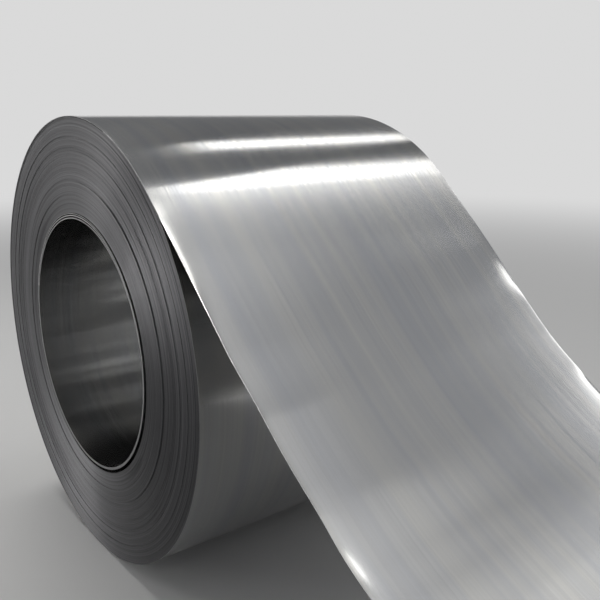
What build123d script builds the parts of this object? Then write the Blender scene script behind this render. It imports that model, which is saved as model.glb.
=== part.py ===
"""Steel coil: cold-rolled strip wound on itself, with its outer end run out onto the floor.

Frame: millimetres. X is along the coil's axis and the origin is at the centre of the bore.
The free end is paid off towards -Y, and +Z is up.
"""
import os
from math import cos, radians, sin, sqrt

from build123d import *

# ---- Strip and coil ----
strip_width = 700.0
strip_thickness = 1.0
bore_diameter = 508.0
outside_diameter = 900.0

# ---- Free end, from where it leaves the coil to its cut end on the floor ----
leave_angle = 43.5       # from the top of the coil towards the front
first_run = 400.0        # straight stretch after it leaves
sag_radius = 900.0       # gentle bend under its own weight
sag_turn = 17.0          # how far that bend turns it towards level
floor_radius = 1200.0    # bend that brings it level with the floor
flat_end = 150.0         # length lying on the floor

# ---- Inner end of the strip, a small step in the bore wall ----
inner_end_angle = 78.0   # from the top of the coil towards the front

# ---- Turns that have slipped sideways, which draw the rings on both ends ----
# Each is (depth into the wall where it ends, as a part of the wall; shift along +X in mm).
turn_bands = [
    (0.008, -1.6),
    (0.022, 1.8),
    (0.032, -1.0),
    (0.056, 1.4),
    (0.228, 0.0),
    (0.240, 1.5),
    (0.370, -0.6),
    (0.390, 2.2),
    (0.540, 0.4),
    (0.570, 1.4),
    (0.620, 0.2),
    (0.670, -0.8),
    (0.692, 0.4),
    (0.702, 1.6),
    (0.800, -0.5),
    (0.812, 1.5),
    (0.925, -0.6),
    (0.984, 0.6),
]
outer_turns_shift = -1.0

bore_radius = bore_diameter / 2
outside_radius = outside_diameter / 2
wall = outside_radius - bore_radius
half_width = strip_width / 2


def place(angle, radius):
    """Point (Y, Z) at a radius from the axis, with the angle taken from the top to the front."""
    return Vector(-sin(radians(angle)) * radius, cos(radians(angle)) * radius)


# ---- Core: the wound turns, each band keeping the full strip width ----
band_profile = []
inner = bore_radius
for depth, shift in turn_bands:
    outer = bore_radius + depth * wall
    band_profile.append((shift - half_width, inner, shift + half_width, outer))
    inner = outer
core_radius = inner

near_side = []
far_side = []
for x_near, r_in, x_far, r_out in band_profile:
    near_side += [(x_near, r_in), (x_near, r_out)]
    far_side += [(x_far, r_in), (x_far, r_out)]
core_outline = Polyline(*near_side, *reversed(far_side), close=True)
core = revolve(Plane.XZ * make_face(core_outline), Axis.X, 360)

# ---- Step in the bore where the strip's inner end is lapped by the next turn ----
climb = sqrt((bore_radius + strip_thickness) ** 2 - bore_radius ** 2)
end_toe = place(inner_end_angle, bore_radius)
end_top = place(inner_end_angle, bore_radius + strip_thickness)
climb_angle = inner_end_angle - Vector(bore_radius, climb).get_angle(Vector(1, 0))
climb_start = place(climb_angle, bore_radius)
inside = place((inner_end_angle + climb_angle) / 2, bore_radius - 3 * strip_thickness)
step_outline = Polyline(end_toe, end_top, climb_start, inside, close=True)
step_cut = extrude(Plane.YZ * make_face(step_outline), strip_width, both=True)
core -= step_cut

# ---- Outer turns: a spiral of four quarter circles that grows by one strip thickness ----
# Each centre moves by a quarter of the thickness, so the quarters meet without a kink and
# the strip's two faces both leave the coil as tangents.
creep = strip_thickness / 4
leave_out = place(leave_angle, 1)
leave_dir = place(leave_angle + 90, 1)
quarter_dirs = [leave_out, leave_dir, -leave_out, -leave_dir, leave_out]
centre = Vector(0, 0)
radius = outside_radius - strip_thickness
spiral = []
for quarter in range(4):
    start_dir = quarter_dirs[quarter]
    end_dir = quarter_dirs[quarter + 1]
    middle_dir = (start_dir + end_dir).normalized()
    spiral.append(
        ThreePointArc(
            centre + start_dir * radius,
            centre + middle_dir * radius,
            centre + end_dir * radius,
        )
    )
    if quarter == int((180 - leave_angle) // 90):
        floor = centre.Y - radius
    centre -= end_dir * creep
    radius += creep

# ---- Free end: straight, bend, straight, bend, flat ----
slope = leave_angle - sag_turn
top_start = leave_out * outside_radius
level = Vector(-1, 0)


def down(angle):
    """Direction (Y, Z) towards the front that falls at an angle below level."""
    return Vector(-cos(radians(angle)), -sin(radians(angle)))


def bend(start, start_angle, end_angle, bend_radius):
    """Arc whose fall eases from one angle to another, and the point it ends at."""
    middle_angle = (start_angle + end_angle) / 2
    centre_point = start + place(start_angle, 1) * bend_radius
    middle = centre_point - place(middle_angle, 1) * bend_radius
    end = centre_point - place(end_angle, 1) * bend_radius
    return ThreePointArc(start, middle, end), end


first_end = top_start + leave_dir * first_run
sag_end = bend(first_end, leave_angle, slope, sag_radius - strip_thickness)[1]
floor_drop = (floor_radius - strip_thickness) * (1 - cos(radians(slope)))
second_run = (sag_end.Y - floor - strip_thickness - floor_drop) / sin(radians(slope))


def free_face(start, inset):
    """One face of the free end as a chain of edges; inset is how far it lies under the top."""
    run_end = start + leave_dir * first_run
    sag, sag_stop = bend(run_end, leave_angle, slope, sag_radius - strip_thickness + inset)
    fall_end = sag_stop + down(slope) * second_run
    ease, ease_stop = bend(fall_end, slope, 0, floor_radius - strip_thickness + inset)
    tip = ease_stop + level * flat_end
    edges = [Line(start, run_end), sag, Line(sag_stop, fall_end), ease, Line(ease_stop, tip)]
    return edges, tip


top_edges, top_tip = free_face(top_start, 0)
under_edges, under_tip = free_face(leave_out * (outside_radius - strip_thickness), strip_thickness)
outer_outline = Curve() + spiral + top_edges + under_edges + Line(top_tip, under_tip)
outer_sketch = make_face(outer_outline.edges()) - Circle(core_radius)
outer_turns = extrude(Plane.YZ * outer_sketch, half_width, both=True)
outer_turns = Pos(outer_turns_shift, 0, 0) * outer_turns

coil = core + outer_turns

os.makedirs("parts", exist_ok=True)
export_step(coil, "parts/coil.step")

print(f"wall {wall:.1f}, core radius {core_radius:.2f}, floor at z {floor:.3f}")
print(f"second run {second_run:.1f}, tip at y {under_tip.X:.1f}, z {under_tip.Y:.3f}")
print(f"solids {len(coil.solids())}, faces {len(coil.faces())}, volume {coil.volume / 1e9:.5f} m3")
print(f"box {coil.bounding_box()}")
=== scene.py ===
# %% [markdown]
# # A coil of cold-rolled steel strip
# A steel mill rolls strip flat and winds it into a coil. This one lies on its round side, and
# its outer end has been paid off and runs down to the floor. The lesson builds it in two
# ways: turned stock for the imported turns, and a real strip, one millimetre thick, for the
# turns that can be told apart.
#
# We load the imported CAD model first. It is the frame that every new piece has to fit.

# %% Load the frame
import math
import random

import bmesh
import bpy
from mathutils import Matrix, Vector


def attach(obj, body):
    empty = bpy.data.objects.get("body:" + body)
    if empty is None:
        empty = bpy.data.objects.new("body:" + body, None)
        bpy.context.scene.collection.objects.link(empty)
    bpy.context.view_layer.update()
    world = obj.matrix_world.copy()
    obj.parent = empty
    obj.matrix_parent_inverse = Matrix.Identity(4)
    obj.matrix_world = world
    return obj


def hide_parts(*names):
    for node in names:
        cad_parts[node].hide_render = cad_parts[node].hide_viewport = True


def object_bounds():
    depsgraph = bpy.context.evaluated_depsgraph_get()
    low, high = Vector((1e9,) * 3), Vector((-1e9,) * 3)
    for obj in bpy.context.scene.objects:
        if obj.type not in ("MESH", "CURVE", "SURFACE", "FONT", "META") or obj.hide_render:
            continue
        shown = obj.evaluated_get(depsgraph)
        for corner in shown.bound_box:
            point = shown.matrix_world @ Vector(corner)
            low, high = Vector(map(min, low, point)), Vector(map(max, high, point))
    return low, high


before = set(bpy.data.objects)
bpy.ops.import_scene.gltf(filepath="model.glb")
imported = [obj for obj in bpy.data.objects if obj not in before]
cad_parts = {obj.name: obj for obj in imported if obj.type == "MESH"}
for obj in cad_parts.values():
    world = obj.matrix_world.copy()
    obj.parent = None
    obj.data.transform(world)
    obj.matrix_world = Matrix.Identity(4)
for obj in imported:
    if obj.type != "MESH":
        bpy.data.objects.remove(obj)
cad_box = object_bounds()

print("CAD box", [[round(v, 4) for v in corner] for corner in cad_box])

# %% [markdown]
# ## Sizes
# The sizes are those of the CAD model, in metres. X runs along the coil's axis, the strip is
# paid off towards -Y, and angles round the coil are taken from its top towards the front.

# %% Sizes of the coil and its strip
STRIP_WIDTH = 0.700
STRIP_THICKNESS = 0.001
BORE_RADIUS = 0.254
OUTSIDE_RADIUS = 0.450
WALL = OUTSIDE_RADIUS - BORE_RADIUS
HALF_WIDTH = STRIP_WIDTH / 2

LEAVE_ANGLE = 43.5
FIRST_RUN = 0.400
SAG_RADIUS = 0.900
SAG_TURN = 17.0
FLOOR_RADIUS = 1.200
FLAT_END = 0.150
INNER_END_ANGLE = 78.0

X_AXIS = Vector((1, 0, 0))
FLOOR_Z = cad_box[0][2]
print("floor at", round(FLOOR_Z, 4))


# %% Directions in the plane across the axis
def outward(angle):
    """Unit vector from the axis at an angle from the top towards the front."""
    a = math.radians(angle)
    return Vector((0, -math.sin(a), math.cos(a)))


def downhill(angle):
    """Unit vector towards the front that falls at an angle below level."""
    return outward(angle + 90)


print("the strip leaves towards", [round(v, 3) for v in downhill(LEAVE_ANGLE)])

# %% [markdown]
# ## Camera
# The camera's place was worked out from the ellipses of the bore and of the outside of the
# coil, so the render can be laid beside the photograph. A focal length in pixels, divided by
# the side of the picture, is the same share as the lens in millimetres of the sensor.

# %% Camera
IMAGE_SIDE = 600
FOCAL_PIXELS = 753.3
SENSOR = 36.0
CAMERA_PLACE = (-0.9118, -1.4173, 0.4555)
LOOKS_DOWN = 13.972
LOOKS_RIGHT = 38.193

camera_data = bpy.data.cameras.new("camera")
camera_data.sensor_width = SENSOR
camera_data.lens = FOCAL_PIXELS / IMAGE_SIDE * SENSOR
camera = bpy.data.objects.new("camera", camera_data)
camera.location = CAMERA_PLACE
camera.rotation_euler = (math.radians(90 - LOOKS_DOWN), 0, math.radians(-LOOKS_RIGHT))
bpy.context.scene.collection.objects.link(camera)
bpy.context.scene.camera = camera
bpy.context.scene.view_settings.view_transform = "Standard"
print("lens", round(camera_data.lens, 2), "mm")

# %% [markdown]
# ## Materials
# Every finish is made of shader nodes, because a pattern that is worked out never repeats
# and stays sharp close up. A few short helpers keep the node code readable.

# %% Node helpers
# The Mix node keeps its colour sockets at these places in its lists.
COLOUR_A = 6
COLOUR_B = 7
COLOUR_OUT = 2


def new_node(tree, kind, **settings):
    """Adds a node and sets its properties."""
    node = tree.nodes.new(kind)
    for name, value in settings.items():
        setattr(node, name, value)
    return node


def feed(tree, socket, value):
    """Links a socket to another one, or gives it a plain value."""
    if isinstance(value, bpy.types.NodeSocket):
        tree.links.new(value, socket)
    else:
        socket.default_value = value


def math_node(tree, operation, a, b=0.0):
    """One step of arithmetic; gives its result socket."""
    node = new_node(tree, "ShaderNodeMath", operation=operation)
    feed(tree, node.inputs[0], a)
    feed(tree, node.inputs[1], b)
    return node.outputs[0]


def vector_node(tree, operation, a, b=None, out="Vector"):
    """One step of vector arithmetic; gives its result socket."""
    node = new_node(tree, "ShaderNodeVectorMath", operation=operation)
    feed(tree, node.inputs[0], a)
    if b is not None:
        feed(tree, node.inputs[1], b)
    return node.outputs[out]


def blend_of(tree, *parts):
    """Adds up values, each given with its share."""
    total = None
    for value, share in parts:
        term = math_node(tree, "MULTIPLY", value, share)
        total = term if total is None else math_node(tree, "ADD", total, term)
    return total


def scaled(tree, vector, scale):
    """A vector multiplied by a plain (x, y, z)."""
    return vector_node(tree, "MULTIPLY", vector, scale)


def noise(tree, vector, scale, detail, roughness):
    """Noise value round 0.5 at each point."""
    node = new_node(tree, "ShaderNodeTexNoise")
    feed(tree, node.inputs["Vector"], vector)
    node.inputs["Scale"].default_value = scale
    node.inputs["Detail"].default_value = detail
    node.inputs["Roughness"].default_value = roughness
    return node.outputs["Fac"]


def remap(tree, value, low, high, new_low, new_high, soft=False):
    """Stretches a range of values onto another, held at its ends."""
    node = new_node(tree, "ShaderNodeMapRange", clamp=True)
    if soft:
        node.interpolation_type = "SMOOTHSTEP"
    numbers = (value, low, high, new_low, new_high)
    for socket, number in zip(node.inputs, numbers):
        feed(tree, socket, number)
    return node.outputs["Result"]


def mix_colour(tree, factor, a, b):
    """Blend of two colours."""
    node = new_node(tree, "ShaderNodeMix", data_type="RGBA")
    feed(tree, node.inputs["Factor"], factor)
    feed(tree, node.inputs[COLOUR_A], a)
    feed(tree, node.inputs[COLOUR_B], b)
    return node.outputs[COLOUR_OUT]


print("node helpers ready")


# %% Helpers for node groups
FLOAT = "NodeSocketFloat"
VECTOR = "NodeSocketVector"


def new_group(name, inputs, outputs):
    """An empty node group with float or vector sockets; gives it with its two end nodes."""
    group = bpy.data.node_groups.new(name, "ShaderNodeTree")
    for label, kind, value in inputs:
        socket = group.interface.new_socket(label, in_out="INPUT", socket_type=kind)
        if value is not None:
            socket.default_value = value
    for label, kind in outputs:
        group.interface.new_socket(label, in_out="OUTPUT", socket_type=kind)
    start = group.nodes.new("NodeGroupInput")
    end = group.nodes.new("NodeGroupOutput")
    return group, start, end


def place_group(tree, group, **values):
    """Puts a node group into a material and feeds its inputs."""
    node = new_node(tree, "ShaderNodeGroup", node_tree=group)
    for label, value in values.items():
        feed(tree, node.inputs[label], value)
    return node


print("group helpers ready")

# %% [markdown]
# Rolling leaves long faint streaks in the steel. They all run one way, along the strip, so
# the pattern is noise that is stretched along the strip's length. The strip carries a UV map
# in metres for it: U goes across the width and V along the length. Several noises, each
# finer than the last, give broad bands and hairlines together, as on the real strip. A few
# short scratches come from the turns that have slid on each other.

# %% Rolling streaks, a group for every rolled face
rolling, start, end = new_group(
    "rolling_streaks",
    [("Place", VECTOR, None)],
    [("Broad", FLOAT), ("Fine", FLOAT), ("Scratches", FLOAT), ("Height", FLOAT)],
)
strip_place = start.outputs["Place"]


def streak(across, along, detail, roughness):
    """Noise with so many waves to a metre across the strip, and so many along it."""
    stretched = scaled(rolling, strip_place, (across, along, 0.0))
    return noise(rolling, stretched, 1.0, detail, roughness)


broad = streak(11.0, 0.4, 2.0, 0.5)
middle = streak(42.0, 0.9, 2.0, 0.5)
narrow = streak(110.0, 1.1, 2.0, 0.6)
hair = streak(420.0, 2.5, 2.0, 0.6)
short = streak(480.0, 30.0, 1.0, 0.5)
waves = streak(4.0, 3.0, 0.0, 0.5)
feed(rolling, end.inputs["Broad"], blend_of(rolling, (broad, 0.5), (middle, 0.5)))
feed(rolling, end.inputs["Fine"], blend_of(rolling, (narrow, 0.6), (hair, 0.4)))
feed(rolling, end.inputs["Scratches"], remap(rolling, short, 0.74, 0.80, 0.0, 1.0))
feed(rolling, end.inputs["Height"], blend_of(rolling, (waves, 1.0), (narrow, 0.03)))
print("streaks group has", len(rolling.nodes), "nodes")

# %% [markdown]
# Handling leaves a thin uneven film of oil and dust. It dulls the steel in soft patches, with
# small specks in between, so one large noise and one small one are added up.

# %% Oil film, a group for every finish
film, start, end = new_group(
    "oil_film",
    [("Place", VECTOR, None), ("Amount", FLOAT, 1.0)],
    [("Dulling", FLOAT)],
)
cloud = noise(film, start.outputs["Place"], 3.1, 4.0, 0.6)
specks = noise(film, start.outputs["Place"], 46.0, 3.0, 0.7)
patches = remap(film, cloud, 0.42, 0.72, 0.0, 1.0)
dots = remap(film, specks, 0.6, 0.78, 0.0, 0.5)
dulling = math_node(film, "ADD", patches, dots)
dulling = math_node(film, "MULTIPLY", dulling, start.outputs["Amount"])
feed(film, end.inputs["Dulling"], dulling)
print("film group has", len(film.nodes), "nodes")

# %% [markdown]
# All the steel here starts from one shader. It is a metal that smears its reflections one
# way, which the Anisotropic value gives, and the Tangent says which way: along U of the
# strip's own map. A pattern's height then goes through a Bump node, which tilts the light
# and costs no geometry. That is enough for forms as shallow as these.


# %% Start of a steel finish
def bare_steel(name, smear):
    """A metal that smears reflections along U; gives its material, nodes and shader."""
    material = bpy.data.materials.new(name)
    material.use_nodes = True
    tree = material.node_tree
    shader = tree.nodes["Principled BSDF"]
    shader.inputs["Metallic"].default_value = 1.0
    shader.inputs["Anisotropic"].default_value = smear
    tangent = new_node(tree, "ShaderNodeTangent", direction_type="UV_MAP", uv_map="strip")
    tree.links.new(tangent.outputs[0], shader.inputs["Tangent"])
    return material, tree, shader


BUMP_DEPTH = 0.0006


def emboss(tree, shader, height, strength):
    """Lets a pattern's height tilt the light on a shader."""
    bump = new_node(tree, "ShaderNodeBump")
    bump.inputs["Strength"].default_value = strength
    bump.inputs["Distance"].default_value = BUMP_DEPTH
    tree.links.new(height, bump.inputs["Height"])
    tree.links.new(bump.outputs[0], shader.inputs["Normal"])


print("bare steel ready")

# %% [markdown]
# The rolled face is bright steel, close to a mirror. Its fine lines run along the strip, so
# a reflection is smeared across them. The streaks change the colour a little and the
# roughness more, so they show best at the rim of a highlight.

# %% Rolled face
STEEL_WARM = (0.632, 0.626, 0.602, 1)
STEEL_COOL = (0.530, 0.540, 0.560, 1)
STEEL_LINE = (0.44, 0.44, 0.444, 1)
ROLLED_ROUGHNESS = 0.145
ROLLED_SMEAR = 0.7
ROLLED_FILM = 0.6


def rolled_steel(name):
    """Bright cold-rolled steel with streaks along the strip."""
    material, tree, shader = bare_steel(name, ROLLED_SMEAR)
    strip_map = new_node(tree, "ShaderNodeUVMap", uv_map="strip")
    objects = new_node(tree, "ShaderNodeTexCoord").outputs["Object"]
    streaks = place_group(tree, rolling, Place=strip_map.outputs[0])
    dull = place_group(tree, film, Place=objects, Amount=ROLLED_FILM).outputs["Dulling"]
    fine = streaks.outputs["Fine"]
    warmth = remap(tree, streaks.outputs["Broad"], 0.38, 0.62, 0.0, 1.0)
    colour = mix_colour(tree, warmth, STEEL_COOL, STEEL_WARM)
    lines = remap(tree, fine, 0.36, 0.68, 0.0, 0.42)
    colour = mix_colour(tree, lines, colour, STEEL_LINE)
    tree.links.new(colour, shader.inputs["Base Color"])
    rough = remap(tree, fine, 0.3, 0.7, ROLLED_ROUGHNESS - 0.03, ROLLED_ROUGHNESS + 0.05)
    marks = blend_of(tree, (dull, 0.02), (streaks.outputs["Scratches"], 0.05))
    tree.links.new(math_node(tree, "ADD", rough, marks), shader.inputs["Roughness"])
    emboss(tree, shader, streaks.outputs["Height"], 1.0)
    return material


rolled_face = rolled_steel("rolled_face")
print("made", rolled_face.name)

# %% [markdown]
# The ends of the coil show the slit edges of about two hundred turns, packed side by side.
# Each edge is a hairline a little lighter or darker than the next. A Wave texture would draw
# rings that are all alike, so the pattern is noise, read at a place made from the distance to
# the axis. A little of the direction goes in as well, so a ring fades in and out on its way
# round. Where two turns stand apart, a darker line is painted in as the shade in the gap
# between them.

# %% Rings of slit edges, a group for every slit edge
edge_rings, start, end = new_group(
    "edge_rings",
    [("Place", VECTOR, None)],
    [("Turn", FLOAT), ("Tone", FLOAT), ("GapShade", FLOAT)],
)
across = scaled(edge_rings, start.outputs["Place"], (0.0, 1.0, 1.0))
direction = vector_node(edge_rings, "NORMALIZE", across)
ring_place = new_node(edge_rings, "ShaderNodeCombineXYZ")
feed(edge_rings, ring_place.inputs[0], vector_node(edge_rings, "LENGTH", across, out="Value"))


def rings(per_metre, wander, detail):
    """Noise in rings, so many to a metre of wall; wander lets them change on their way."""
    ring = scaled(edge_rings, ring_place.outputs[0], (per_metre, 0, 0))
    drift = scaled(edge_rings, direction, (0, wander, wander))
    return noise(edge_rings, vector_node(edge_rings, "ADD", ring, drift), 1.0, detail, 0.6)


turn_rings = rings(1300.0, 0.8, 1.0)
bundle_rings = rings(420.0, 0.35, 1.0)
band_rings = rings(110.0, 0.15, 2.0)
tone = blend_of(edge_rings, (turn_rings, 0.45), (bundle_rings, 0.35), (band_rings, 0.20))
# Thin lines where two turns stand apart, where painted shade for the gap goes.
gap_shade_rings = math_node(edge_rings, "SUBTRACT", rings(90.0, 0.10, 0.0), 0.5)
gap_shade_rings = math_node(edge_rings, "ABSOLUTE", gap_shade_rings)
feed(edge_rings, end.inputs["Turn"], turn_rings)
feed(edge_rings, end.inputs["Tone"], remap(edge_rings, tone, 0.37, 0.63, 0.0, 1.0))
feed(edge_rings, end.inputs["GapShade"], remap(edge_rings, gap_shade_rings, 0.004, 0.014, 0.5, 0.0))
print("rings group has", len(edge_rings.nodes), "nodes")

# %% [markdown]
# The rings also work like the grooves of a turned disc: light is smeared across them, away
# from the axis, and the shine gathers in two opposite sectors. Only the imported turns do
# this. Three shades are needed. Packed edges are dark with oil, and darker still with painted
# shade that stands for the shadow between the tightly packed turns; those of the outer and
# the inner turns are lighter, and the free end's edges are clean and bright.

# %% Slit edges
# The packed edge colours are partly oil and partly painted shade for the shadow between packed
# turns.
EDGE_LIGHT = (0.125, 0.124, 0.131, 1)
EDGE_DARK = (0.042, 0.042, 0.045, 1)
# Painted shade for the gaps between turns that stand apart.
GAP_SHADE = (0.022, 0.022, 0.024, 1)
WOUND_LIGHT = (0.20, 0.199, 0.204, 1)
WOUND_DARK = (0.10, 0.10, 0.103, 1)
FREE_LIGHT = (0.66, 0.66, 0.66, 1)
FREE_DARK = (0.46, 0.46, 0.465, 1)
FILM_SHADE = 0.25
EDGE_BUMP = 0.2


def slit_steel(name, light, dark, gap, roughness, film_amount, smear):
    """Slit edges of wound strip, drawn as rings round the axis."""
    material, tree, shader = bare_steel(name, smear)
    objects = new_node(tree, "ShaderNodeTexCoord").outputs["Object"]
    drawn = place_group(tree, edge_rings, Place=objects)
    dull = place_group(tree, film, Place=objects, Amount=film_amount).outputs["Dulling"]
    colour = mix_colour(tree, drawn.outputs["Tone"], dark, light)
    # The gap colour is painted shade in the gaps between turns that stand apart.
    colour = mix_colour(tree, drawn.outputs["GapShade"], colour, gap)
    colour = mix_colour(tree, math_node(tree, "MULTIPLY", dull, FILM_SHADE), colour, dark)
    tree.links.new(colour, shader.inputs["Base Color"])
    rough = remap(tree, drawn.outputs["Turn"], 0.3, 0.7, roughness - 0.06, roughness + 0.08)
    tree.links.new(rough, shader.inputs["Roughness"])
    emboss(tree, shader, drawn.outputs["Tone"], EDGE_BUMP)
    return material


slit_edges = slit_steel("slit_edges", EDGE_LIGHT, EDGE_DARK, GAP_SHADE, 0.50, 0.8, 0.85)
wound_edges = slit_steel("wound_edges", WOUND_LIGHT, WOUND_DARK, WOUND_DARK, 0.42, 0.6, 0.0)
free_edges = slit_steel("free_edges", FREE_LIGHT, FREE_DARK, FREE_DARK, 0.34, 0.3, 0.0)
print("made", slit_edges.name, wound_edges.name, "and", free_edges.name)

# %% [markdown]
# ## Wound turns
# A ring for each of the two hundred turns would cost a great many faces and show no more than
# lines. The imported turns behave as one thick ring, and turned stock is made on a lathe. The
# Blender tool that matches it is Spin: a section is drawn once and swept round the axis. Some
# turns have slipped sideways, so the section has small steps, the same ones as the CAD model
# and many finer ones between them.

# %% Turns that have slipped sideways
# Each entry: how deep in the wall the band ends, and its shift along X in millimetres.
SLIPPED_BANDS = [
    (0.008, -1.6), (0.022, 1.8), (0.032, -1.0), (0.056, 1.4), (0.228, 0.0), (0.240, 1.5),
    (0.370, -0.6), (0.390, 2.2), (0.540, 0.4), (0.570, 1.4), (0.620, 0.2), (0.670, -0.8),
    (0.692, 0.4), (0.702, 1.6), (0.800, -0.5), (0.812, 1.5), (0.925, -0.6), (0.984, 0.6),
]
OUTER_SHIFT = -0.001
FINE_SLIP = 0.00035
SLIP_LIMIT = 0.0016
GROUP_WIDTHS = (0.0014, 0.0036)
NARROWEST_GROUP = 0.0008
NARROWEST_REST = 0.001

# The ring starts outside the loose inner turns and stops short of the outer turn.
CORE_INNER = 0.2655
COVER_TURNS = 2.15
core_outer = OUTSIDE_RADIUS - COVER_TURNS * STRIP_THICKNESS
dice = random.Random(7)


def band_shift(radius):
    """Sideways slip of the band that a radius lies in, in metres."""
    for depth, shift in SLIPPED_BANDS:
        if radius <= BORE_RADIUS + depth * WALL:
            return shift / 1000
    return OUTER_SHIFT


def turn_groups():
    """(inner radius, outer radius, slip) of each small group of turns, from the bore out."""
    found = []
    radius = CORE_INNER
    band_ends = [BORE_RADIUS + depth * WALL for depth, _ in SLIPPED_BANDS]
    for band_end in band_ends + [core_outer]:
        limit = min(band_end, core_outer)
        while radius < limit - NARROWEST_GROUP:
            stop = min(radius + dice.uniform(*GROUP_WIDTHS), limit)
            if limit - stop < NARROWEST_REST:
                stop = limit
            slip = band_shift((radius + stop) / 2) + dice.uniform(-FINE_SLIP, FINE_SLIP)
            found.append((radius, stop, min(max(slip, -SLIP_LIMIT), SLIP_LIMIT)))
            radius = stop
    return found


groups = turn_groups()
print(len(groups), "groups of turns from", round(CORE_INNER, 4), "to", round(core_outer, 4))

# %% [markdown]
# Every piece is finished the same way. Its faces are shaded smooth, except at edges that turn
# sharply, and then it joins the coil's body and stands in for the plain CAD solid.

# %% Helpers that finish a mesh
CRISP_ANGLE = math.radians(30)


def sharpen(bm):
    """Smooth shading, with the edges that turn sharply kept crisp."""
    for face in bm.faces:
        face.smooth = True
    for edge in bm.edges:
        edge.smooth = len(edge.link_faces) == 2 and edge.calc_face_angle(0.0) < CRISP_ANGLE


def new_piece(name, bm, materials):
    """Makes an object of a bmesh, rides it on the coil's body and stands it for the node."""
    mesh = bpy.data.meshes.new(name)
    bm.to_mesh(mesh)
    bm.free()
    for material in materials:
        mesh.materials.append(material)
    piece = bpy.data.objects.new(name, mesh)
    bpy.context.scene.collection.objects.link(piece)
    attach(piece, "root")
    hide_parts("coil")
    triangles = sum(len(p.vertices) - 2 for p in mesh.polygons)
    print(name, "has", len(mesh.polygons), "faces,", triangles, "triangles")


print("mesh helpers ready")

# %% Section of the wound turns, swept round the axis
SPIN_STEPS = 192
MERGE_REACH = 0.00001

bm = bmesh.new()
near_points = []
far_points = []
for inner, outer, slip in groups:
    near_points += [(slip - HALF_WIDTH, inner), (slip - HALF_WIDTH, outer)]
    far_points += [(slip + HALF_WIDTH, inner), (slip + HALF_WIDTH, outer)]
section = [bm.verts.new((x, 0, r)) for x, r in near_points + far_points[::-1]]
edges = [bm.edges.new((section[i - 1], section[i])) for i in range(len(section))]
bmesh.ops.spin(
    bm, geom=section + edges, cent=(0, 0, 0), axis=X_AXIS, angle=math.tau,
    steps=SPIN_STEPS, use_merge=True,
)
bmesh.ops.remove_doubles(bm, verts=bm.verts, dist=MERGE_REACH)
bmesh.ops.recalc_face_normals(bm, faces=bm.faces)
print("open edges", sum(1 for e in bm.edges if len(e.link_faces) != 2))

# %% [markdown]
# The UV map of the ring gives the pattern its two ways: on a rolled face U goes across the
# width, on an end U goes away from the axis, and V goes round the axis on both. On an end V
# is measured at the bore for every ring. If it grew with the radius, U would lean over, and
# the shine would lean with it.

# %% UV map of the wound turns
strip_map = bm.loops.layers.uv.new("strip")
for face in bm.faces:
    on_end = abs(face.normal.x) > 0.5
    face.material_index = 0 if on_end else 1
    middle = face.calc_center_median()
    seam = math.atan2(middle.z, middle.y)
    for loop in face.loops:
        at = loop.vert.co
        radius = math.hypot(at.y, at.z)
        angle = math.atan2(at.z, at.y)
        angle += round((seam - angle) / math.tau) * math.tau
        loop[strip_map].uv = (radius, angle * BORE_RADIUS) if on_end else (at.x, angle * radius)
sharpen(bm)
new_piece("wound_turns", bm, [slit_edges, rolled_face])

# %% [markdown]
# ## Strip
# A flat profile could be swept along a curve, but then nothing would tell how far along the
# strip a point is, and its edges would be hard to shape. So the strip is made the way rollers
# make it. A row of edges across the width is pushed along: rolled round a centre where the
# strip is bent, and drawn out where it is straight. Each vertex remembers how far along the
# strip it is, for the UV map and for the waves.

# %% Rows pushed along the strip
CROWDING = 1.9


def start_row(bm, width, shift, point, cuts):
    """A row of edges across the strip, finer towards both sides."""
    ends = [bm.verts.new((side * width / 2, 0, 0)) for side in (-1, 1)]
    first = bm.edges.new(ends)
    bmesh.ops.subdivide_edges(bm, edges=[first], cuts=cuts)
    for vert in bm.verts:
        share = vert.co.x / (width / 2)
        share = math.copysign(1 - (1 - abs(share)) ** CROWDING, share)
        vert.co = Vector(point) + X_AXIS * (share * width / 2 + shift)
    return list(bm.edges)


def push(bm, row, length, run):
    """Copies a row of edges with the faces between; gives the new row and its vertices."""
    made = bmesh.ops.extrude_edge_only(bm, edges=row)["geom"]
    verts = [g for g in made if isinstance(g, bmesh.types.BMVert)]
    edges = [g for g in made if isinstance(g, bmesh.types.BMEdge)]
    for vert in verts:
        vert[run] = length
    return edges, verts


def roll(bm, row, length, run, centre, degrees, steps, radius, way=1):
    """Bends the strip round a centre line; gives the last row and the length reached."""
    turn = Matrix.Rotation(math.radians(degrees) / steps, 3, "X")
    step = way * math.radians(abs(degrees)) * radius / steps
    for _ in range(steps):
        length += step
        row, verts = push(bm, row, length, run)
        bmesh.ops.rotate(bm, verts=verts, cent=centre, matrix=turn)
    return row, length


def draw(bm, row, length, run, move, steps):
    """Draws the strip out straight; gives the last row and the length reached."""
    for _ in range(steps):
        length += move.length / steps
        row, verts = push(bm, row, length, run)
        bmesh.ops.translate(bm, verts=verts, vec=move / steps)
    return row, length


print("roller ready")

# %% [markdown]
# Solidify gives a one-sided sheet its thickness, on the side away from its normals. The
# sheet's outer face is the one that was drawn, so its normals have to point up at the top of
# the coil first. Edges get a finish of their own, and those of the free end the bright one.

# %% Thickness, edges and UV map of a strip
FREE_FROM = 0.05
EDGEWISE = 0.7
SAME_PLACE = 1e-7


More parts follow.
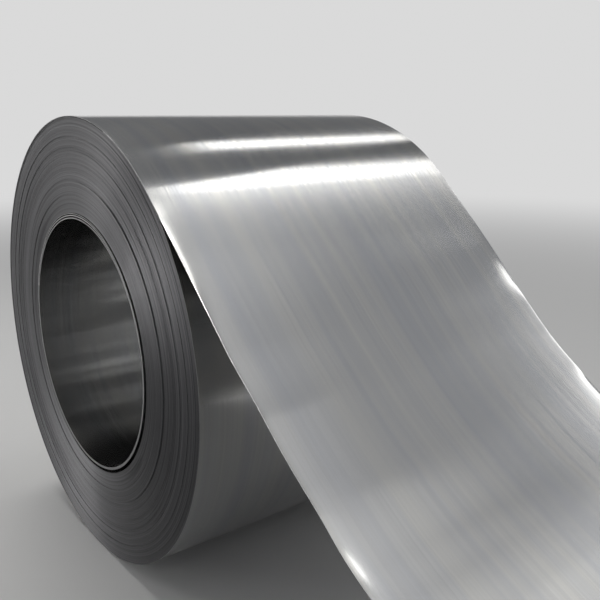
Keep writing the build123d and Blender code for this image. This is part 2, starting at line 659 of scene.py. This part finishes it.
def strip_finish(bm, run):
    """Gives a one-sided strip its thickness inwards, its UV map and its edge materials."""
    bmesh.ops.recalc_face_normals(bm, faces=bm.faces)
    bm.faces.ensure_lookup_table()
    probe = max(bm.faces, key=lambda f: f.calc_center_median().z)
    if probe.normal.z < 0:
        bmesh.ops.reverse_faces(bm, faces=bm.faces)
    sheet = list(bm.faces)
    bmesh.ops.solidify(bm, geom=sheet, thickness=STRIP_THICKNESS)
    bmesh.ops.recalc_face_normals(bm, faces=bm.faces)
    strip_map = bm.loops.layers.uv.new("strip")
    for face in bm.faces:
        for loop in face.loops:
            loop[strip_map].uv = (loop.vert.co.x, loop.vert[run])
        first = min(v[run] for v in face.verts)
        last = max(v[run] for v in face.verts)
        on_edge = abs(face.normal.x) > EDGEWISE or last - first < SAME_PLACE
        edge_finish = 2 if last > FREE_FROM else 1
        face.material_index = edge_finish if on_edge else 0
    sharpen(bm)
    print("open edges", sum(1 for e in bm.edges if len(e.link_faces) != 2))


print("finish ready")

# %% [markdown]
# The outer turn is a spiral. A draughtsman draws it with four quarter circles whose centres
# step round a small square, each quarter a quarter of a thickness larger than the last. The
# free end then leaves as a tangent, sags in one gentle bend, falls straight and is bent level
# by the floor. The turn is rolled backwards from where the free end leaves, and goes on a
# little under itself, so that no open edge shows.

# %% Outer turn and free end
CREEP = STRIP_THICKNESS / 4
TUCK_TURN = 24
ROW_CUTS = 47
leave = outward(LEAVE_ANGLE)
slope = LEAVE_ANGLE - SAG_TURN
centres = [
    Vector((0, 0, 0)),
    -downhill(LEAVE_ANGLE) * CREEP,
    -downhill(LEAVE_ANGLE) * CREEP + leave * CREEP,
    leave * CREEP,
]

bm = bmesh.new()
run = bm.verts.layers.float.new("run")
first_row = start_row(bm, STRIP_WIDTH, OUTER_SHIFT, leave * OUTSIDE_RADIUS, ROW_CUTS)
row = first_row
length = 0.0
for quarter in (3, 2, 1, 0):
    radius = OUTSIDE_RADIUS - STRIP_THICKNESS + quarter * CREEP
    row, length = roll(bm, row, length, run, centres[quarter], -90, 60, radius, way=-1)
row, length = roll(bm, row, length, run, centres[3], -TUCK_TURN, 16, OUTSIDE_RADIUS, way=-1)
print("the outer turn takes", round(-length, 3), "m of strip")

row, length = draw(bm, first_row, 0.0, run, downhill(LEAVE_ANGLE) * FIRST_RUN, steps=60)
sag_start = leave * OUTSIDE_RADIUS + downhill(LEAVE_ANGLE) * FIRST_RUN
sag_bend = SAG_RADIUS - STRIP_THICKNESS
sag_centre = sag_start + leave * sag_bend
row, length = roll(bm, row, length, run, sag_centre, -SAG_TURN, 30, sag_bend)
sag_end = sag_centre - outward(slope) * sag_bend
floor_bend = FLOOR_RADIUS - STRIP_THICKNESS
floor_drop = floor_bend * (1 - math.cos(math.radians(slope)))
fall = sag_end.z - FLOOR_Z - STRIP_THICKNESS - floor_drop
second_run = fall / math.sin(math.radians(slope))
row, length = draw(bm, row, length, run, downhill(slope) * second_run, steps=54)
fall_end = sag_end + downhill(slope) * second_run
floor_centre = fall_end + outward(slope) * floor_bend
row, length = roll(bm, row, length, run, floor_centre, -slope, 50, floor_bend)
row, length = draw(bm, row, length, run, downhill(0) * FLAT_END, steps=12)
print("the free end is", round(length, 3), "m long")

# %% [markdown]
# A strip that hangs free is never quite flat. This one is twisted a little, so its left side
# runs higher and its right side lower than the plain path. Slitting has also left both edges
# a touch longer than the middle, so they curl and droop in places, which is where the strip
# catches the light, and it has rolled their very rim down. Towards the floor it all fades out.
#
# A cloth simulation would put such waves anywhere. Here each one has its place, so the lists
# below are read along the strip as a row of soft steps: where a step starts and where it
# ends, in metres from where the strip leaves the coil, and how far it lifts that side in
# millimetres. For an edge, the last number says how far in it is still felt, in metres.

# %% Twist and waves of the free end
LEFT_LIFT = [(0.12, 0.26, 3.0), (0.30, 0.43, 8.7), (0.54, 0.72, -11.7)]
RIGHT_LIFT = [(0.19, 0.38, -7.0), (0.40, 0.56, 5.0), (0.60, 0.85, 2.0)]
LEFT_WAVES = [
    (0.00, 0.05, 1.0, 0.011), (0.04, 0.13, 1.7, 0.006), (0.14, 0.28, -2.7, 0.010),
    (0.57, 0.64, -3.2, 0.011), (0.66, 0.74, 3.2, 0.011),
]
RIGHT_WAVES = [
    (0.13, 0.235, -6.2, 0.036), (0.27, 0.345, 6.2, 0.036),
    (0.13, 0.235, 4.4, 0.200), (0.27, 0.345, -4.4, 0.200),
    (0.49, 0.54, -2.4, 0.011), (0.58, 0.66, 2.4, 0.011),
]
TWIST_POWER = 1.5
EDGE_ROLL = 0.0002
ROLL_REACH = 0.004
ROLL_FROM = (0.0, 0.05)
SETTLES = (0.85, 1.25)


def ease(value, low, high):
    """0 below a range, 1 above it, and an even rise between."""
    share = min(max((value - low) / (high - low), 0.0), 1.0)
    return share * share * (3 - 2 * share)


def side_lift(steps, along):
    """Height of one side of the strip, in metres."""
    return sum(change * ease(along, low, high) for low, high, change in steps) / 1000


def edge_lift(waves, inside, along):
    """Height that the waves of an edge add at a distance in from it, in metres."""
    total = 0.0
    for low, high, change, reach in waves:
        total += change / 1000 * ease(along, low, high) * math.exp(-inside / reach)
    return total


def free_end_lift(across, along):
    """How far a point of the free end stands off the plain path, in metres."""
    share = across / HALF_WIDTH
    left = max((1 - share) / 2, 0.0) ** TWIST_POWER
    right = max((1 + share) / 2, 0.0) ** TWIST_POWER
    inside = HALF_WIDTH - abs(across)
    lift = left * side_lift(LEFT_LIFT, along) + right * side_lift(RIGHT_LIFT, along)
    lift += edge_lift(LEFT_WAVES if across < 0 else RIGHT_WAVES, inside, along)
    lift -= EDGE_ROLL * math.exp(-inside / ROLL_REACH) * ease(along, *ROLL_FROM)
    return lift * (1 - ease(along, *SETTLES))


bm.normal_update()
lifted = 0
for vert in bm.verts:
    if vert[run] > 0:
        normal = vert.normal if vert.normal.z > 0 else -vert.normal
        vert.co += normal * free_end_lift(vert.co.x - OUTER_SHIFT, vert[run])
        lifted += 1
print(lifted, "points lifted")
strip_finish(bm, run)
new_piece("outer_turn_and_free_end", bm, [rolled_face, wound_edges, free_edges])

# %% [markdown]
# The first turns start with the strip's inner end, which springs a little off the wall of the
# bore, and the next turn laps over it. They have worked loose, so at the top of the bore thin
# dark gaps stand between them, and their edges show as two light rings. Painted lines would
# do for the front view, but real strip also gives the gaps their depth from the side.

# %% Inner turns
INNER_TURNS = 5
INNER_CUTS = 12
INNER_SHIFT = SLIPPED_BANDS[0][1] / 1000
STEPS_PER_TURN = 120
SPRING_LENGTH = 0.060
SPRING = 0.0035
LOOSE_TURNS = [(2.0, 0.0030), (4.0, 0.0024)]
CLIMB_TURN = 5.07
GAP_TOP = -12.0
GAP_FULL = 15
GAP_REACH = 95.0


def tight_radius(turned):
    """Radius of the strip's outer face where the turns lie tight, at degrees from its end."""
    laps, rest = divmod(turned, 360)
    climb_share = max(rest - (360 - CLIMB_TURN), 0)
    climb = (BORE_RADIUS + laps * STRIP_THICKNESS) / math.cos(math.radians(climb_share))
    return min(climb, BORE_RADIUS + (laps + 1) * STRIP_THICKNESS) + STRIP_THICKNESS


def looseness(turned):
    """How far the loose turns stand out from the tight ones, in metres."""
    angle = (turned + INNER_END_ANGLE - GAP_TOP + 180) % 360 - 180
    open_share = 1 - ease(abs(angle), GAP_FULL, GAP_REACH)
    laps = (turned + INNER_END_ANGLE - GAP_TOP - 180) / 360
    return sum(gap * open_share for first, gap in LOOSE_TURNS if laps > first)


bm = bmesh.new()
run = bm.verts.layers.float.new("run")
radius = tight_radius(0)
row = start_row(bm, STRIP_WIDTH, INNER_SHIFT, outward(INNER_END_ANGLE) * radius, INNER_CUTS)
step_turn = 360 / STEPS_PER_TURN
turn = Matrix.Rotation(math.radians(step_turn), 3, "X")
length = 0.0
for index in range(1, INNER_TURNS * STEPS_PER_TURN):
    turned = index * step_turn
    length += math.radians(step_turn) * radius
    row, verts = push(bm, row, length, run)
    bmesh.ops.rotate(bm, verts=verts, cent=(0, 0, 0), matrix=turn)
    new_radius = tight_radius(turned) + looseness(turned)
    away = outward(INNER_END_ANGLE + turned)
    bmesh.ops.translate(bm, verts=verts, vec=away * (new_radius - radius))
    radius = new_radius
for vert in bm.verts:
    spring = SPRING * (1 - ease(vert[run], 0, SPRING_LENGTH))
    vert.co -= Vector((0, vert.co.y, vert.co.z)).normalized() * spring
strip_finish(bm, run)
new_piece("inner_turns", bm, [rolled_face, wound_edges, wound_edges])
print("inner turns reach", round(radius, 4))

# %% [markdown]
# ## Floor and light
# Bright metal has hardly a colour of its own. It shows what stands round it, so the room
# matters as much as the steel: a pale floor, and grey walls that are pale near the floor. A
# wall behind the floor would leave a line, so the floor's paint fades into the same pale
# glow that the room has low down, far from the coil.

# %% Floor: painted near the coil, fading into the pale room far away
PALE = 0.70
FLOOR_PAINT = 0.62
FLOOR_ROUGHNESS = 0.9
FADE_FROM = 1.6
FADE_TO = 7.5
FLOOR_REACH = 80.0

bm = bmesh.new()
bmesh.ops.create_circle(bm, cap_ends=True, segments=96, radius=FLOOR_REACH)
bmesh.ops.translate(bm, verts=bm.verts, vec=(0, 0, FLOOR_Z))
floor_mesh = bpy.data.meshes.new("floor")
bm.to_mesh(floor_mesh)
bm.free()
floor = bpy.data.objects.new("floor", floor_mesh)
bpy.context.scene.collection.objects.link(floor)
floor_paint = bpy.data.materials.new("floor_paint")
floor_paint.use_nodes = True
tree = floor_paint.node_tree
paint = tree.nodes["Principled BSDF"]
paint.inputs["Roughness"].default_value = FLOOR_ROUGHNESS
paint.inputs["Specular IOR Level"].default_value = 0.0
paint.inputs["Emission Strength"].default_value = 1.0
level = scaled(tree, new_node(tree, "ShaderNodeTexCoord").outputs["Object"], (1.0, 1.0, 0.0))
distance = vector_node(tree, "LENGTH", level, out="Value")
far = remap(tree, distance, FADE_FROM, FADE_TO, 0.0, 1.0, soft=True)
black = (0.0, 0.0, 0.0, 1)
painted = (FLOOR_PAINT, FLOOR_PAINT, FLOOR_PAINT, 1)
glowing = (PALE, PALE, PALE, 1)
tree.links.new(mix_colour(tree, far, painted, black), paint.inputs["Base Color"])
tree.links.new(mix_colour(tree, far, black, glowing), paint.inputs["Emission Color"])
floor_mesh.materials.append(floor_paint)
print("floor fades from", FADE_FROM, "to", FADE_TO, "m")

# %% Room: pale near the floor, darker above, with a soft glow overhead
# Each pair holds a level for the whole room, and what its front right side adds to it.
WALLS = (0.17, 0.22)
OVERHEAD = (0.06, 0.16)
ROOM_TINT = (0.985, 1.0, 1.03)

world = bpy.data.worlds.new("room")
world.use_nodes = True
bpy.context.scene.world = world
tree = world.node_tree
background = tree.nodes["Background"]
sight = new_node(tree, "ShaderNodeTexCoord").outputs["Generated"]
sides = new_node(tree, "ShaderNodeSeparateXYZ")
tree.links.new(sight, sides.inputs[0])
front = remap(tree, sides.outputs["Y"], 0.15, -0.10, 0.0, 1.0, soft=True)
right = remap(tree, sides.outputs["X"], 0.10, 0.45, 0.0, 1.0, soft=True)
front = math_node(tree, "MULTIPLY", front, right)
high = remap(tree, sides.outputs["Z"], 0.13, 0.24, 0.0, 1.0, soft=True)
overhead = remap(tree, sides.outputs["Z"], 0.72, 0.88, 0.0, 1.0, soft=True)
glow = blend_of(tree, (front, OVERHEAD[1]), (1.0, OVERHEAD[0]))
walls = blend_of(tree, (front, WALLS[1]), (1.0, WALLS[0]))
upper = math_node(tree, "ADD", walls, math_node(tree, "MULTIPLY", overhead, glow))
shade = mix_colour(tree, high, glowing, scaled(tree, upper, ROOM_TINT))
tree.links.new(shade, background.inputs["Color"])
print("room set")

# %% [markdown]
# The lamps are soft panels, because a small lamp would be a hard spark on bright metal. Long
# level ones hang high to the right, and their reflections are the bright bands on the coil's
# back. Lower ones hang over the free end, and small ones give the glints at its two edges.
# Where one panel should add to another it hangs a little lower, because a ray of light that
# meets two at the same height sees only one of them. The coil's near end has two panels
# beside it, and one has a narrow beam, so that it misses the floor.


# %% Lamps
LAMP_TINT = (1.0, 0.99, 0.965)
HIGH = 3.33
LOW = 1.0
WIDE_OPEN = 180


def panel(name, radiance, length, width, place, aim, swing=0.0, spread=WIDE_OPEN):
    """A soft panel lamp. Radiance is how bright its face looks, where 1 is white."""
    data = bpy.data.lights.new(name, "AREA")
    data.shape = "RECTANGLE"
    data.size = length
    data.size_y = width
    data.energy = radiance * math.pi * length * width
    if spread < WIDE_OPEN:
        half = math.radians(spread) / 2
        data.spread = 2 * half
        data.energy *= 1 - half / math.tan(half)
    lamp = bpy.data.objects.new(name, data)
    bpy.context.scene.collection.objects.link(lamp)
    z = (Vector(place) - Vector(aim)).normalized()
    x = (X_AXIS - z * X_AXIS.dot(z)).normalized()
    y = z.cross(x)
    turned = Matrix((x, y, z)).transposed() @ Matrix.Rotation(math.radians(swing), 3, "Z")
    lamp.matrix_world = Matrix.Translation(place) @ turned.to_4x4()
    data.color = LAMP_TINT
    lamp.visible_camera = False


def level_panel(name, radiance, start, end, width, height):
    """A level panel that faces down; its middle line runs between two (x, y) points."""
    start = Vector((start[0], start[1], height))
    end = Vector((end[0], end[1], height))
    middle = (start + end) / 2
    line = end - start
    swing = math.degrees(math.atan2(line.y, line.x))
    panel(name, radiance, line.length, width, middle, middle - Vector((0, 0, 1)), swing)


level_panel("band_panel", 2.2, (1.38, -0.38), (5.5, -0.38), 0.26, HIGH)
level_panel("band_wing", 2.2, (1.25, -0.375), (2.2, 0.025), 0.25, HIGH)
level_panel("band_end", 2.2, (2.1, -0.03), (3.8, -0.03), 0.46, HIGH)
level_panel("thin_panel", 2.6, (1.80, 1.54), (4.05, 1.76), 0.53, HIGH)
level_panel("front_panel", 0.21, (-0.2, -1.62), (1.8, -1.62), 1.16, LOW)
level_panel("near_panel", 0.12, (-0.2, -1.65), (1.8, -1.65), 1.06, LOW - 0.01)
level_panel("left_panel", 0.17, (-0.2, -0.99), (0.6, -0.99), 0.10, LOW)
level_panel("corner_panel", 0.22, (0.95, -1.60), (2.1, -1.60), 0.80, LOW - 0.03)
level_panel("rim_panel", 1.0, (-0.55, -0.98), (0.05, -0.98), 0.86, LOW)
level_panel("wedge_panel", 4.5, (0.385, -1.68), (0.61, -1.43), 0.10, 2.14)
panel("side_panel", 3.2, 0.46, 0.36, (3.087, -0.883, 1.37), (0.35, -0.62, 0.06))
panel("key_panel", 9.0, 1.4, 1.4, (-0.2, 1.8, 3.3), (0.0, 0.0, 0.0))
panel("end_panel", 23.0, 1.4, 0.6, (-2.62, 1.93, -0.08), (-0.35, 0.0, -0.1), spread=50)
panel("high_end_panel", 9.0, 0.8, 0.7, (-2.06, 2.22, 1.08), (-0.35, 0.0, 0.0))
